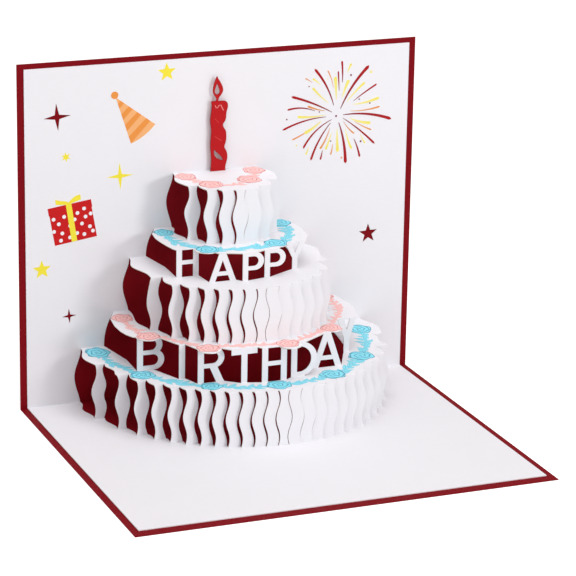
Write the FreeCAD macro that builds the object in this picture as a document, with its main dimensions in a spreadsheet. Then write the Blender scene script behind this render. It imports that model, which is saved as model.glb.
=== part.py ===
import FreeCAD, Part
import Sketcher
import math
import os
from FreeCAD import Vector

# Birthday cake card standing open at a right angle.
# One white sheet is cut and folded into a five tier cake and is glued into a dark red folded cover.
# A red paper candle stands in a slit in the top tier.
# Working frame: the middle of the crease between the two printed faces is the zero point,
# X runs along the crease, the base panel lies towards -Y and the back panel rises along +Z.

# Sizes in millimetres, each named once
SIZES = [
    ("card_width", 180.0),
    ("panel_length", 150.0),
    ("sheet_thick", 0.35),
    ("cover_thick", 0.35),
    ("fold_round", 0.3),
    ("sheet_width", 174.0),
    ("top_margin", 2.3),
    ("front_margin", 4.8),
    ("mid_one", 1.9),
    ("mid_two", -1.0),
    ("mid_three", -2.0),
    ("mid_four", -2.3),
    ("mid_five", -2.5),
    ("rise_one", 24.2),
    ("rise_two", 15.0),
    ("rise_three", 23.4),
    ("rise_four", 12.0),
    ("rise_five", 23.6),
    ("tier_one_half", 66.5),
    ("tier_one_deep", 78.0),
    ("tier_one_curve", 0.46),
    ("tier_one_lean", -2.25),
    ("tier_three_half", 40.8),
    ("tier_three_deep", 58.8),
    ("tier_three_curve", 0.3),
    ("tier_three_lean", -1.4),
    ("tier_five_half", 20.7),
    ("tier_five_deep", 34.0),
    ("tier_five_curve", 0.3),
    ("tier_five_lean", -1.2),
    ("mid_strip_half", 2.5),
    ("kerf", 0.35),
    ("sway", 0.9),
    ("sway_first", 3.6),
    ("sway_pitch", 8.5),
    ("hinge_bulge", 1.4),
    ("hinge_tuck", 1.6),
    ("stroke_two", 2.6),
    ("stroke_four", 2.4),
    ("tier_two_foot", 51.6),
    ("tier_two_hinge", 47.3),
    ("tier_four_foot", 31.4),
    ("tier_four_hinge", 27.6),
    ("lobe_radius", 5.0),
    ("candle_left", -5.4),
    ("candle_width", 6.9),
    ("candle_height", 30.6),
    ("flame_height", 10.8),
    ("candle_gap", 1.8),
    ("candle_thick", 0.35),
    ("candle_tab", 6.0),
    ("tab_taper", 0.8),
    ("slit_clearance", 0.15),
]

doc = FreeCAD.newDocument("pop_up_card")
sheet = doc.addObject("Spreadsheet::Sheet", "Sizes")
for row, (name, value) in enumerate(SIZES, start=1):
    sheet.set("A%d" % row, name)
    sheet.set("B%d" % row, "%g" % value)
    sheet.setAlias("B%d" % row, name)
doc.recompute()


def size(name):
    """One value of the size sheet in millimetres."""
    return float(getattr(sheet, name))


T = size("sheet_thick")
RISES = [size("rise_" + word) for word in ("one", "two", "three", "four", "five")]
LEVEL = [0.0]
for rise in RISES:
    LEVEL.append(LEVEL[-1] + rise)

# Where the working frame sits in the part's own frame, whose zero is the middle of the footprint
BACK = size("sheet_thick") + size("cover_thick")
FRAME_Y = "(Sizes.panel_length - Sizes.sheet_thick - Sizes.cover_thick) / 2"
FRAME_Z = "Sizes.sheet_thick + Sizes.cover_thick"


def seat(obj):
    """Seat a sub-part: the middle of the footprint comes to zero and the underside to Z = 0."""
    obj.setExpression("Placement.Base.y", FRAME_Y)
    obj.setExpression("Placement.Base.z", FRAME_Z)


# Plates of sheet thickness

def level_plate(points, height):
    """A level plate, its printed face at the given height, from outline points (x, depth)."""
    ring = [Vector(x, -deep, height - T) for x, deep in points]
    ring.append(ring[0])
    return Part.Face(Part.makePolygon(ring)).extrude(Vector(0, 0, T))


def upright_plate(points, deep):
    """An upright plate, its printed face at the given depth, from outline points (x, z)."""
    ring = [Vector(x, -deep, z) for x, z in points]
    ring.append(ring[0])
    return Part.Face(Part.makePolygon(ring)).extrude(Vector(0, T, 0))


def mirror(points, mid):
    """The same points on the other side of a tier's middle, in reverse order."""
    return [(2 * mid - x, other) for x, other in reversed(points)]


def tidy(points):
    """Leave out points that repeat the one before."""
    kept = [points[0]]
    for point in points[1:]:
        if math.hypot(point[0] - kept[-1][0], point[1] - kept[-1][1]) > 1e-6:
            kept.append(point)
    return kept


def steps(start, end, pitch=1.25):
    """Values from start to end, evenly spaced by about the pitch."""
    count = max(2, int(math.ceil(abs(end - start) / pitch)))
    return [start + (end - start) * i / count for i in range(count + 1)]


# Wavy cuts between the strips
# A cut is one curve for the strip on its deep side, the strip on its shallow side and the two
# levels it crosses. It is described by the height above the foot of the deep strip, measured along
# the flat sheet, so all four edges follow from the same turning points.

def ease(turns, height):
    """Half cosine waves joining turning points (height, sideways offset)."""
    if height <= turns[0][0]:
        return turns[0][1]
    for (low, first), (high, second) in zip(turns, turns[1:]):
        if height <= high:
            part = (height - low) / (high - low)
            return first + (second - first) * (1 - math.cos(math.pi * part)) / 2
    return turns[-1][1]


class Flank:
    """One side of a strip tier, told as if it were the left one. Its strips step forward from the
    hinge to the deepest strip."""

    def __init__(self, tier, count, lean):
        self.tall = tier.tall
        self.mid = tier.mid
        self.count = count
        inner = lean - size("mid_strip_half")
        pitch = (tier.half + inner) / count
        self.cut = [-tier.half + pitch * i for i in range(count + 1)]
        self.deep = [0.0]
        for i in range(count):
            middle = 0.62 * self.cut[i] + 0.38 * self.cut[i + 1]
            across = abs(middle) / (tier.half + 0.3)
            self.deep.append(tier.deepest * (1 - across ** 2) ** tier.curve)
        self.deep.append(tier.deepest)
        self.turns = [self.turning_points(i) for i in range(count + 1)]

    def turning_points(self, i):
        """Turning points of the cut left of strip i + 1, upwards from its foot."""
        swing = size("sway")
        first = size("sway_first")
        pitch = size("sway_pitch")
        turns = [(first - pitch, -swing), (first, swing), (first + pitch, -swing)]
        step = self.deep[i + 1] - self.deep[i]
        top = self.tall + step
        if i == 0:
            turns.append((step - 2.0, swing + 0.4))
            turns.append((step + 0.48 * self.tall, -size("hinge_bulge")))
            turns.append((top, size("hinge_tuck")))
            return turns
        turns.append((first + 2 * pitch, swing))
        if step > 14.0:
            turns.append((first + 2.6 * pitch, -0.3 * swing))
            turns.append((first + 3.15 * pitch, 0.8 * swing))
            turns.append((first + 4.0 * pitch, -swing))
            turns.append((top + 0.1, -0.3 * swing))
            return turns
        turns.append((first + 3 * pitch, -swing))
        turns.append((first + 4 * pitch, swing))
        return turns

    def at(self, i, height):
        """Sideways place of cut i at a height above the foot of the strip on its deep side."""
        return self.mid + self.cut[i] + ease(self.turns[i], height)

    def edge_path(self, height):
        """Folds and cuts from the hinge to the deepest strip as (x, depth), at a height above the
        feet: nothing for the feet, the tier's own height for the heads."""
        path = []
        for i in range(self.count + 1):
            step = self.deep[i + 1] - self.deep[i]
            for up in steps(step, 0.0):
                path.append((self.at(i, up + height), self.deep[i + 1] - up))
        return path

    def back_path(self, low):
        """Edge of the opening in the back panel, upwards, as (x, z)."""
        return [(self.at(0, up + self.deep[1]), low + up) for up in steps(0.0, self.tall)]

    def deep_side(self, i, low):
        """Edge of the strip that lies to the right of cut i, upwards, as (x, z)."""
        path = [(self.at(i, up), low + min(up, self.tall - T)) for up in steps(0.0, self.tall)]
        return [(path[0][0], low - T)] + path

    def shallow_side(self, i, low):
        """Edge of the strip that lies to the left of cut i, upwards, as (x, z), a kerf away."""
        step = self.deep[i + 1] - self.deep[i]
        path = [(self.at(i, up + step) - size("kerf"), low + min(up, self.tall - T))
                for up in steps(0.0, self.tall)]
        return [(path[0][0], low - T)] + path

    def rings(self, low):
        """Outline and depth of every strip but the deepest."""
        found = []
        for i in range(1, self.count + 1):
            ring = self.deep_side(i - 1, low) + list(reversed(self.shallow_side(i, low)))
            found.append((tidy(ring), self.deep[i]))
        return found


class StripTier:
    """A tier made of upright wavy strips that step forward to the deepest one and back again.
    The deepest strip lies a little beside the middle of the tier, by its lean, with as many strips
    to its left as to its right."""

    def __init__(self, word, tall, count):
        self.tall = tall
        self.mid = size("mid_" + word)
        self.half = size("tier_%s_half" % word)
        self.deepest = size("tier_%s_deep" % word)
        self.curve = size("tier_%s_curve" % word)
        lean = size("tier_%s_lean" % word)
        self.left = Flank(self, count, lean)
        self.right = Flank(self, count, -lean)

    def foot_path(self):
        """Folds at the feet and the cuts between them, left to right, as (x, depth)."""
        return tidy(self.left.edge_path(0.0) + mirror(self.right.edge_path(0.0), self.mid))

    def top_path(self):
        """Folds at the heads and the cuts between them, left to right, as (x, depth)."""
        return tidy(self.left.edge_path(self.tall) + mirror(self.right.edge_path(self.tall), self.mid))

    def back_paths(self, low):
        """Both edges of the opening in the back panel, left one upwards and right one downwards."""
        return self.left.back_path(low), mirror(self.right.back_path(low), self.mid)

    def strips(self, low):
        """All strips as solids, standing on the level at the given height."""
        solids = []
        for ring, deep in self.left.rings(low):
            solids.append(upright_plate(ring, deep))
        for ring, deep in self.right.rings(low):
            solids.append(upright_plate(mirror(ring, self.mid), deep))
        middle = self.left.deep_side(self.left.count, low)
        middle += mirror(self.right.deep_side(self.right.count, low), self.mid)
        solids.append(upright_plate(tidy(middle), self.deepest))
        return solids


# Plain block capitals cut from upright plates

def rectangle(x0, z0, x1, z1):
    """Outline of a rectangle."""
    return Part.Face(Part.makePolygon([Vector(x0, 0, z0), Vector(x1, 0, z0), Vector(x1, 0, z1),
                                       Vector(x0, 0, z1), Vector(x0, 0, z0)]))


def slanted(x0, x1, z0, x2, x3, z1):
    """A slanting stroke from (x0..x1) at z0 to (x2..x3) at z1."""
    return Part.Face(Part.makePolygon([Vector(x0, 0, z0), Vector(x1, 0, z0), Vector(x3, 0, z1),
                                       Vector(x2, 0, z1), Vector(x0, 0, z0)]))


def round_end(x0, z0, x1, z1):
    """A field that is square on its left and half round on its right."""
    radius = min((z1 - z0) / 2, x1 - x0)
    low = Vector(x1 - radius, 0, z0)
    corner_low = Vector(x1, 0, z0 + radius)
    corner_high = Vector(x1, 0, z1 - radius)
    high = Vector(x1 - radius, 0, z1)
    bend = radius * math.sqrt(0.5)
    edges = [Part.makeLine(Vector(x0, 0, z0), low),
             Part.Arc(low, Vector(x1 - radius + bend, 0, z0 + radius - bend), corner_low).toShape()]
    if corner_high.z - corner_low.z > 1e-6:
        edges.append(Part.makeLine(corner_low, corner_high))
    edges.append(Part.Arc(corner_high, Vector(x1 - radius + bend, 0, z1 - radius + bend),
                          high).toShape())
    edges.append(Part.makeLine(high, Vector(x0, 0, z1)))
    edges.append(Part.makeLine(Vector(x0, 0, z1), Vector(x0, 0, z0)))
    return Part.Face(Part.Wire(edges))


def bowl(x0, z0, x1, z1, side, edge):
    """A bowl: the field with a half round end less the opening inside it."""
    return round_end(x0, z0, x1, z1).cut(round_end(x0, z0 + edge, x1 - side, z1 - edge))


class Letter:
    """Strokes of one letter, its foot spans and the span of its head."""

    def __init__(self, sign, wide, tall, stroke):
        bar = 0.72 * stroke
        half = wide / 2
        self.foot = [(0.0, stroke)]
        self.head = (0.0, wide)
        stem = rectangle(0, 0, stroke, tall)
        if sign == "I":
            self.strokes = [stem]
            self.head = (0.0, stroke)
        elif sign == "H":
            middle = 0.52 * tall
            self.strokes = [stem, rectangle(wide - stroke, 0, wide, tall),
                            rectangle(0, middle - bar / 2, wide, middle + bar / 2)]
            self.foot.append((wide - stroke, wide))
        elif sign == "T":
            self.strokes = [rectangle(half - stroke / 2, 0, half + stroke / 2, tall),
                            rectangle(0, tall - stroke, wide, tall)]
            self.foot = [(half - stroke / 2, half + stroke / 2)]
        elif sign == "A":
            point = stroke * 0.62
            cross = 0.27 * tall
            lean = (half - point) / tall
            self.strokes = [slanted(0, stroke * 1.08, 0, half - point, half - point + stroke * 1.08, tall),
                            slanted(wide - stroke * 1.08, wide, 0,
                                    half + point - stroke * 1.08, half + point, tall),
                            rectangle(lean * cross + 0.3, cross - bar / 2,
                                      wide - lean * cross - 0.3, cross + bar / 2)]
            self.foot = [(0.0, stroke * 1.08), (wide - stroke * 1.08, wide)]
            self.head = (half - point, half + point)
        elif sign == "Y":
            fork = 0.42 * tall
            self.strokes = [rectangle(half - stroke / 2, 0, half + stroke / 2, fork),
                            slanted(half - stroke / 2, half + stroke * 0.35, fork - 0.2,
                                    0, stroke * 1.15, tall),
                            slanted(half - stroke * 0.35, half + stroke / 2, fork - 0.2,
                                    wide - stroke * 1.15, wide, tall)]
            self.foot = [(half - stroke / 2, half + stroke / 2)]
        elif sign == "P":
            self.strokes = [stem, bowl(0, 0.36 * tall, wide, tall, stroke, bar)]
            self.head = (0.0, wide * 0.68)
        elif sign == "R":
            waist = 0.42 * tall
            self.strokes = [stem, bowl(0, waist, wide, tall, stroke, bar),
                            slanted(wide - stroke * 1.35, wide - 0.1, 0,
                                    0.42 * wide, 0.42 * wide + stroke * 1.3, waist + bar / 2)]
            self.foot.append((wide - stroke * 1.35, wide - 0.1))
            self.head = (0.0, wide * 0.7)
        elif sign == "D":
            self.strokes = [bowl(0, 0, wide, tall, stroke, bar), stem]
            self.foot = [(0.0, wide * 0.55)]
            self.head = (0.0, wide * 0.55)
        elif sign == "B":
            waist = 0.51 * tall
            self.strokes = [bowl(0, waist - bar / 2, wide * 0.93, tall, stroke, bar),
                            bowl(0, 0, wide, waist + bar / 2, stroke, bar), stem]
            self.foot = [(0.0, wide * 0.6)]
            self.head = (0.0, wide * 0.6)

    def solid(self, left, deep, low):
        """The letter as one plate, its foot on the level at the given height."""
        outline = self.strokes[0].multiFuse(self.strokes[1:]) if len(self.strokes) > 1 else self.strokes[0]
        plates = [outline.extrude(Vector(0, T, 0))]
        for start, end in self.foot:
            plates.append(rectangle(start, -T, end, 0.4).extrude(Vector(0, T, 0)))
        plate = plates[0].multiFuse(plates[1:])
        plate.translate(Vector(left, -deep, low))
        return plate


class LetterTier:
    """A tier whose upright parts are letters with open windows between them."""

    def __init__(self, word, tall, rows, bend, edge):
        self.tall = tall
        self.mid = size("mid_" + word)
        self.stroke = size("stroke_" + word)
        self.foot_hinge = self.mid - size("tier_%s_foot" % word)
        self.top_hinge = self.mid - size("tier_%s_hinge" % word)
        self.rows = rows
        self.bend = bend
        self.edge = edge
        self.letters = [Letter(sign, wide, tall, self.stroke) for sign, left, wide, deep in rows]

    def foot_path(self):
        """Edge of the lower level from hinge to hinge through the feet, as (x, depth)."""
        path = [(self.foot_hinge, 0.0)] + self.bend
        for letter, (sign, left, wide, deep) in zip(self.letters, self.rows):
            path.append((left + letter.foot[0][0], deep))
            path.append((left + letter.foot[-1][1], deep))
        path += mirror(self.bend, self.mid)
        path.append((2 * self.mid - self.foot_hinge, 0.0))
        return path

    def top_path(self):
        """Edge of the upper level from hinge to hinge through the heads, as (x, depth)."""
        path = [(self.top_hinge, 0.0)] + self.edge
        for letter, (sign, left, wide, deep) in zip(self.letters, self.rows):
            path.append((left + letter.head[0], deep))
            path.append((left + letter.head[1], deep))
        path += mirror(self.edge, self.mid)
        path.append((2 * self.mid - self.top_hinge, 0.0))
        return path

    def back_paths(self, low):
        """Both edges of the opening in the back panel, left one upwards and right one downwards."""
        reach = self.top_hinge - self.foot_hinge
        path = []
        for up in steps(0.0, self.tall, 1.6):
            path.append((self.foot_hinge + reach * (up / self.tall) ** 2.2, low + up))
        return path, mirror(path, self.mid)

    def solids(self, low):
        """All letters as solids, standing on the level at the given height."""
        plates = []
        for letter, (sign, left, wide, deep) in zip(self.letters, self.rows):
            plates.append(letter.solid(left, deep, low))
        return plates


# The five tiers, from the base up

# Letters as rows of sign, left edge, width and depth
LOWER_WORD = [
    ("B", -50.0, 12.0, 36.0),
    ("I", -36.8, 2.6, 51.0),
    ("R", -31.5, 11.6, 59.2),
    ("T", -18.6, 11.4, 64.2),
    ("H", -5.8, 11.0, 66.2),
    ("D", 8.0, 11.6, 64.2),
    ("A", 20.6, 13.4, 56.6),
    ("Y", 38.6, 8.8, 40.8),
]
UPPER_WORD = [
    ("H", -31.8, 9.8, 33.4),
    ("A", -21.2, 11.8, 44.2),
    ("P", -7.4, 9.4, 46.9),
    ("P", 3.1, 9.4, 45.0),
    ("Y", 15.0, 9.6, 37.4),
]

tier_one = StripTier("one", RISES[0], 12)
tier_two = LetterTier("two", RISES[1], LOWER_WORD, [(-49.4, 20.5)],
                      [(-52.6, 8.6), (-54.0, 18.5), (-54.0, 25.7), (-53.2, 31.0), (-51.6, 35.0)])
tier_three = StripTier("three", RISES[2], 7)
tier_four = LetterTier("four", RISES[3], UPPER_WORD, [(-31.2, 18.0)],
                       [(-33.5, 7.4), (-34.4, 14.0), (-34.2, 20.0), (-33.6, 26.0), (-32.8, 31.0)])
tier_five = StripTier("five", RISES[4], 3)
TIERS = [tier_one, tier_two, tier_three, tier_four, tier_five]

# Centres of the round lobes that carry a rose past the edge of a level, as (x, depth)
LOBES = {
    2: [(-45.6, 37.0), (-27.0, 60.6), (6.6, 65.8), (31.4, 51.0)],
    4: [(-19.8, 37.2), (11.2, 37.6)],
}


# Star shaped openings in the back panel, as x, z, points, reach, inner share and turn in degrees
STARS = [
    (-72.8, 126.6, 4, 6.1, 0.23, 4.0),
    (-68.1, 39.3, 4, 3.4, 0.25, 4.0),
    (69.8, 63.1, 5, 4.6, 0.4, 2.0),
]


def cake_plates():
    """Every level, strip and letter of the cake as separate plates that meet at the folds."""
    plates = []
    for number, tier in enumerate(TIERS, start=1):
        front = tier.top_path()
        front = [(front[0][0], -T)] + front + [(front[-1][0], -T)]
        rear = []
        if number < 5:
            rear = TIERS[number].foot_path()
            rear = [(rear[0][0], -T)] + rear + [(rear[-1][0], -T)]
        level = level_plate(tidy(front + list(reversed(rear))), LEVEL[number])
        for x, deep in LOBES.get(number, []):
            lobe = Part.makeCylinder(size("lobe_radius"), T, Vector(x, -deep, LEVEL[number] - T))
            if number < 5:
                rear_field = level_plate(tidy([(x0, y0) for x0, y0 in TIERS[number].foot_path()]),
                                         LEVEL[number])
                lobe = lobe.cut(rear_field)
            level = level.fuse(lobe)
        plates.append(level)
        low = LEVEL[number - 1]
        if isinstance(tier, StripTier):
            plates += tier.strips(low)
        else:
            plates += tier.solids(low)
    return plates


def star(x, z, points, reach, inner, turn):
    """A star shaped tool standing across the back panel."""
    ring = []
    for i in range(2 * points):
        angle = math.radians(90.0 + turn + 180.0 * i / points)
        far = reach if i % 2 == 0 else reach * inner
        ring.append(Vector(x + far * math.cos(angle), -1.0, z + far * math.sin(angle)))
    ring.append(ring[0])
    return Part.Face(Part.makePolygon(ring)).extrude(Vector(0, 2.0 + T, 0))


def panels():
    """The base panel and the back panel around the opening of the cake."""
    side = size("sheet_width") / 2
    reach = size("panel_length") - size("front_margin")
    high = size("panel_length") - size("top_margin")
    path = TIERS[0].foot_path()
    ring = [(-side, 0.0), (-side, reach), (side, reach), (side, 0.0)] + list(reversed(path))
    base = level_plate(tidy(ring), 0.0)
    left = [(path[0][0], -T)]
    right = [(path[-1][0], -T)]
    for number, tier in enumerate(TIERS):
        left_edge, right_edge = tier.back_paths(LEVEL[number])
        left += left_edge
        right = right_edge + right
    ring = left + right + [(side, -T), (side, high), (-side, high), (-side, -T)]
    back = upright_plate(tidy(ring), 0.0)
    for row in STARS:
        back = back.cut(star(*row))
    return [base, back]


# White sheet with the cake
everything = panels() + cake_plates()
popup_shape = everything[0].multiFuse(everything[1:]).removeSplitter()

# Slit for the foot of the candle in the top level
gap = size("slit_clearance")
slit = Part.makeBox(size("candle_width") + 2 * gap, size("candle_thick") + 2 * gap, 2.0,
                    Vector(size("candle_left") - gap, -size("candle_gap") - size("candle_thick") - gap,
                           LEVEL[5] - 1.0))
popup_shape = popup_shape.cut(slit)
if popup_shape.ShapeType == "Compound" and len(popup_shape.Solids) == 1:
    popup_shape = popup_shape.Solids[0]
print("pop-up sheet solids", len(popup_shape.Solids), "faces", len(popup_shape.Faces),
      "volume", round(popup_shape.Volume, 1), "valid", popup_shape.isValid())

popup = doc.addObject("Part::Feature", "popup_sheet")
popup.Label = "popup_sheet"
popup.Shape = popup_shape
seat(popup)


# Dark red folded cover behind the sheet

def origin_plane(body, role):
    """One of the three origin planes of a body."""
    for feature in body.Origin.OriginFeatures:
        if feature.Role == role:
            return feature
    return None


cover = doc.addObject("PartDesign::Body", "cover")
cover.Label = "cover"
profile = cover.newObject("Sketcher::SketchObject", "cover_profile")
profile.AttachmentSupport = [(origin_plane(cover, "YZ_Plane"), "")]
profile.MapMode = "FlatFace"
profile.setExpression("AttachmentOffset.Base.z", "-Sizes.card_width / 2")

inner = size("sheet_thick")
outer = BACK
length = size("panel_length")
bend = size("fold_round")
corners = [Vector(-length, -outer, 0), Vector(outer - bend, -outer, 0), Vector(outer, bend - outer, 0),
           Vector(outer, length, 0), Vector(inner, length, 0), Vector(inner, -inner, 0),
           Vector(-length, -inner, 0)]
underside = profile.addGeometry(Part.LineSegment(corners[0], corners[1]), False)
centre = Vector(outer - bend, bend - outer, 0)
fold = profile.addGeometry(Part.ArcOfCircle(Part.Circle(centre, Vector(0, 0, 1), bend),
                                            1.5 * math.pi, 2 * math.pi), False)
rear = profile.addGeometry(Part.LineSegment(corners[2], corners[3]), False)
head = profile.addGeometry(Part.LineSegment(corners[3], corners[4]), False)
face_up = profile.addGeometry(Part.LineSegment(corners[4], corners[5]), False)
face_flat = profile.addGeometry(Part.LineSegment(corners[5], corners[6]), False)
nose = profile.addGeometry(Part.LineSegment(corners[6], corners[0]), False)
for first, second in ((rear, head), (head, face_up), (face_up, face_flat), (face_flat, nose),
                      (nose, underside)):
    profile.addConstraint(Sketcher.Constraint("Coincident", first, 2, second, 1))
profile.addConstraint(Sketcher.Constraint("Tangent", underside, 2, fold, 1))
profile.addConstraint(Sketcher.Constraint("Tangent", fold, 2, rear, 1))
for line in (underside, head, face_flat):
    profile.addConstraint(Sketcher.Constraint("Horizontal", line))
for line in (rear, face_up, nose):
    profile.addConstraint(Sketcher.Constraint("Vertical", line))
bound = [
    (Sketcher.Constraint("Radius", fold, bend), "Sizes.fold_round"),
    (Sketcher.Constraint("DistanceX", -1, 1, face_up, 2, inner), "Sizes.sheet_thick"),
    (Sketcher.Constraint("DistanceY", face_up, 2, -1, 1, inner), "Sizes.sheet_thick"),
    (Sketcher.Constraint("DistanceX", head, 2, head, 1, outer - inner), "Sizes.cover_thick"),
    (Sketcher.Constraint("DistanceY", nose, 2, nose, 1, outer - inner), "Sizes.cover_thick"),
    (Sketcher.Constraint("DistanceY", -1, 1, head, 2, length), "Sizes.panel_length"),
    (Sketcher.Constraint("DistanceX", nose, 1, -1, 1, length), "Sizes.panel_length"),
]
for constraint, expression in bound:
    index = profile.addConstraint(constraint)
    profile.setExpression("Constraints[%d]" % index, expression)
doc.recompute()
cover_pad = cover.newObject("PartDesign::Pad", "cover_pad")
cover_pad.Profile = profile
cover_pad.setExpression("Length", "Sizes.card_width")
cover.Tip = cover_pad
seat(cover)

# Red candle with its flame, a neck through the slit and a tab glued under the top level
candle = doc.addObject("PartDesign::Body", "candle")
candle.Label = "candle"
outline = candle.newObject("Sketcher::SketchObject", "candle_outline")
outline.AttachmentSupport = [(origin_plane(candle, "XZ_Plane"), "")]
outline.MapMode = "FlatFace"
outline.setExpression("AttachmentOffset.Base.z", "Sizes.candle_gap")
outline.setExpression("AttachmentOffset.Base.x", "Sizes.candle_left")
outline.setExpression("AttachmentOffset.Base.y", "Sizes.rise_one + Sizes.rise_two + Sizes.rise_three"
                      " + Sizes.rise_four + Sizes.rise_five")

wide = size("candle_width")
high = size("candle_height")
neck = size("sheet_thick") + size("candle_thick")


def smooth(points):
    """A smooth curve through points."""
    curve = Part.BSplineCurve()
    curve.interpolate([Vector(x, z, 0) for x, z in points])
    return curve


# Points are shares of the candle's width across, and of the wax or flame height up
def wax(points):
    """Points of the wax, from its foot at the level up to its top."""
    return [(wide * across, high * up) for across, up in points]


def flame(points):
    """Points of the flame, from the top of the wax up to the tip."""
    return [(wide * across, high + size("flame_height") * up) for across, up in points]


# Twisted wax edge on the right and the gentler one on the left, then the flame on its wick
right_edge = wax([(1.0, 0.0), (0.986, 0.052), (1.101, 0.17), (1.014, 0.288), (0.913, 0.333), (0.986, 0.399),
                  (1.029, 0.484), (0.957, 0.582), (0.797, 0.65), (0.957, 0.719), (1.014, 0.817),
                  (1.116, 0.935), (1.043, 0.977), (0.855, 0.997)])
left_edge = wax([(0.014, 1.0), (0.029, 0.85), (-0.036, 0.719), (0.029, 0.601), (0.0, 0.458), (-0.014, 0.327),
                 (0.043, 0.177), (0.029, 0.078), (0.0, 0.0)])
flame_right = flame([(0.493, 0.0), (0.507, 0.111), (0.638, 0.222), (0.783, 0.407), (0.739, 0.593),
                     (0.565, 0.796), (0.391, 1.0)])
flame_left = flame([(0.391, 1.0), (0.232, 0.778), (0.145, 0.574), (0.13, 0.361), (0.232, 0.213),
                    (0.333, 0.111), (0.319, 0.0)])


def line(start, end):
    """A straight line of the outline between two points."""
    outline.addGeometry(Part.LineSegment(Vector(start[0], start[1], 0), Vector(end[0], end[1], 0)), False)


line((0.0, -neck), (wide, -neck))
line((wide, -neck), right_edge[0])
outline.addGeometry(smooth(right_edge), False)
line(right_edge[-1], flame_right[0])
outline.addGeometry(smooth(flame_right), False)
outline.addGeometry(smooth(flame_left), False)
line(flame_left[-1], left_edge[0])
outline.addGeometry(smooth(left_edge), False)
line(left_edge[-1], (0.0, -neck))

# Tear shaped opening of the flame and leaf shaped opening low in the wax
openings = [
    flame([(0.399, 0.785), (0.283, 0.515), (0.262, 0.335), (0.405, 0.262)]),
    flame([(0.405, 0.262), (0.54, 0.335), (0.5, 0.53), (0.399, 0.785)]),
    wax([(0.246, 0.304), (0.275, 0.226), (0.493, 0.173), (0.826, 0.154)]),
    wax([(0.826, 0.154), (0.652, 0.212), (0.435, 0.261), (0.246, 0.304)]),
]
for points in openings:
    outline.addGeometry(smooth(points), False)
doc.recompute()
candle_pad = candle.newObject("PartDesign::Pad", "candle_pad")
candle_pad.Profile = outline
candle_pad.setExpression("Length", "Sizes.candle_thick")
candle.Tip = candle_pad
doc.recompute()

tab = candle.newObject("Sketcher::SketchObject", "candle_tab_outline")
tab.AttachmentSupport = [(origin_plane(candle, "XY_Plane"), "")]
tab.MapMode = "FlatFace"
tab.setExpression("AttachmentOffset.Base.x", "Sizes.candle_left")
tab.setExpression("AttachmentOffset.Base.y", "-Sizes.candle_gap")
tab.setExpression("AttachmentOffset.Base.z", "Sizes.rise_one + Sizes.rise_two + Sizes.rise_three"
                  " + Sizes.rise_four + Sizes.rise_five - Sizes.sheet_thick - Sizes.candle_thick")
reach = size("candle_tab")
taper = size("tab_taper")
tab_ring = [Vector(0, 0, 0), Vector(taper, -reach, 0), Vector(wide - taper, -reach, 0),
            Vector(wide, 0, 0)]
for start, end in zip(tab_ring, tab_ring[1:] + tab_ring[:1]):
    tab.addGeometry(Part.LineSegment(start, end), False)
for i in range(4):
    tab.addConstraint(Sketcher.Constraint("Coincident", i, 2, (i + 1) % 4, 1))
tab.addConstraint(Sketcher.Constraint("Coincident", 0, 1, -1, 1))
tab.addConstraint(Sketcher.Constraint("Horizontal", 1))
tab.addConstraint(Sketcher.Constraint("Horizontal", 3))
index = tab.addConstraint(Sketcher.Constraint("DistanceY", 0, 2, 0, 1, reach))
tab.setExpression("Constraints[%d]" % index, "Sizes.candle_tab")
index = tab.addConstraint(Sketcher.Constraint("DistanceX", 3, 2, 3, 1, wide))
tab.setExpression("Constraints[%d]" % index, "Sizes.candle_width")
for line_index in (0, 2):
    index = tab.addConstraint(Sketcher.Constraint("DistanceX", line_index, 1, line_index, 2, taper))
    tab.setExpression("Constraints[%d]" % index, "Sizes.tab_taper")
doc.recompute()
tab_pad = candle.newObject("PartDesign::Pad", "candle_tab_pad")
tab_pad.Profile = tab
tab_pad.setExpression("Length", "Sizes.candle_thick")
candle.Tip = tab_pad
seat(candle)

# Check every object and write one file for each sub-part
doc.recompute()
for obj in doc.Objects:
    if "Invalid" in obj.State or "Error" in obj.State:
        raise RuntimeError("%s is in state %s" % (obj.Name, obj.State))
os.makedirs("parts", exist_ok=True)
for obj in (cover, popup, candle):
    shape = obj.Shape
    if shape.isNull() or not shape.isValid():
        raise RuntimeError("%s has no valid shape" % obj.Label)
    box = shape.BoundBox
    print(obj.Label, "solids", len(shape.Solids), "box", [round(v, 2) for v in (
        box.XMin, box.XMax, box.YMin, box.YMax, box.ZMin, box.ZMax)], "volume", round(shape.Volume, 1))
    shape.exportStep("parts/%s.step" % obj.Label)
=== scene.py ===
# %% [markdown]
# A pop up card stands open at a right angle. Three pieces make its form: a dark red folded cover, one
# white sheet cut and folded into a five tier cake, and a red paper candle. They come ready made as
# the frame, at their true size. This lesson adds what is printed on the paper, the surfaces of card
# and paper, the light and the camera.

# %% Load the card
import math

import bpy
import numpy as np
from mathutils import Matrix, Vector


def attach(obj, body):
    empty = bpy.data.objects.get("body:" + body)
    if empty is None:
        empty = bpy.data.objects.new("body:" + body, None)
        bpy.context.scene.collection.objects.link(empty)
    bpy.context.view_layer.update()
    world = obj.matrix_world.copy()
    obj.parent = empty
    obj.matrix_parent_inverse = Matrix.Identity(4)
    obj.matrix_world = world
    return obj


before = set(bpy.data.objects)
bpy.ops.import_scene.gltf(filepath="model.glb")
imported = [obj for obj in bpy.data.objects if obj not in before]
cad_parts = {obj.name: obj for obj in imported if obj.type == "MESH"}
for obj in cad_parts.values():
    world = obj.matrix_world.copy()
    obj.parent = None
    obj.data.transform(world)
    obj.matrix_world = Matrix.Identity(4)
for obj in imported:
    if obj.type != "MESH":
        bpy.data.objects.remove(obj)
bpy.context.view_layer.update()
print("pieces of the card:", sorted(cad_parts))

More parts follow.
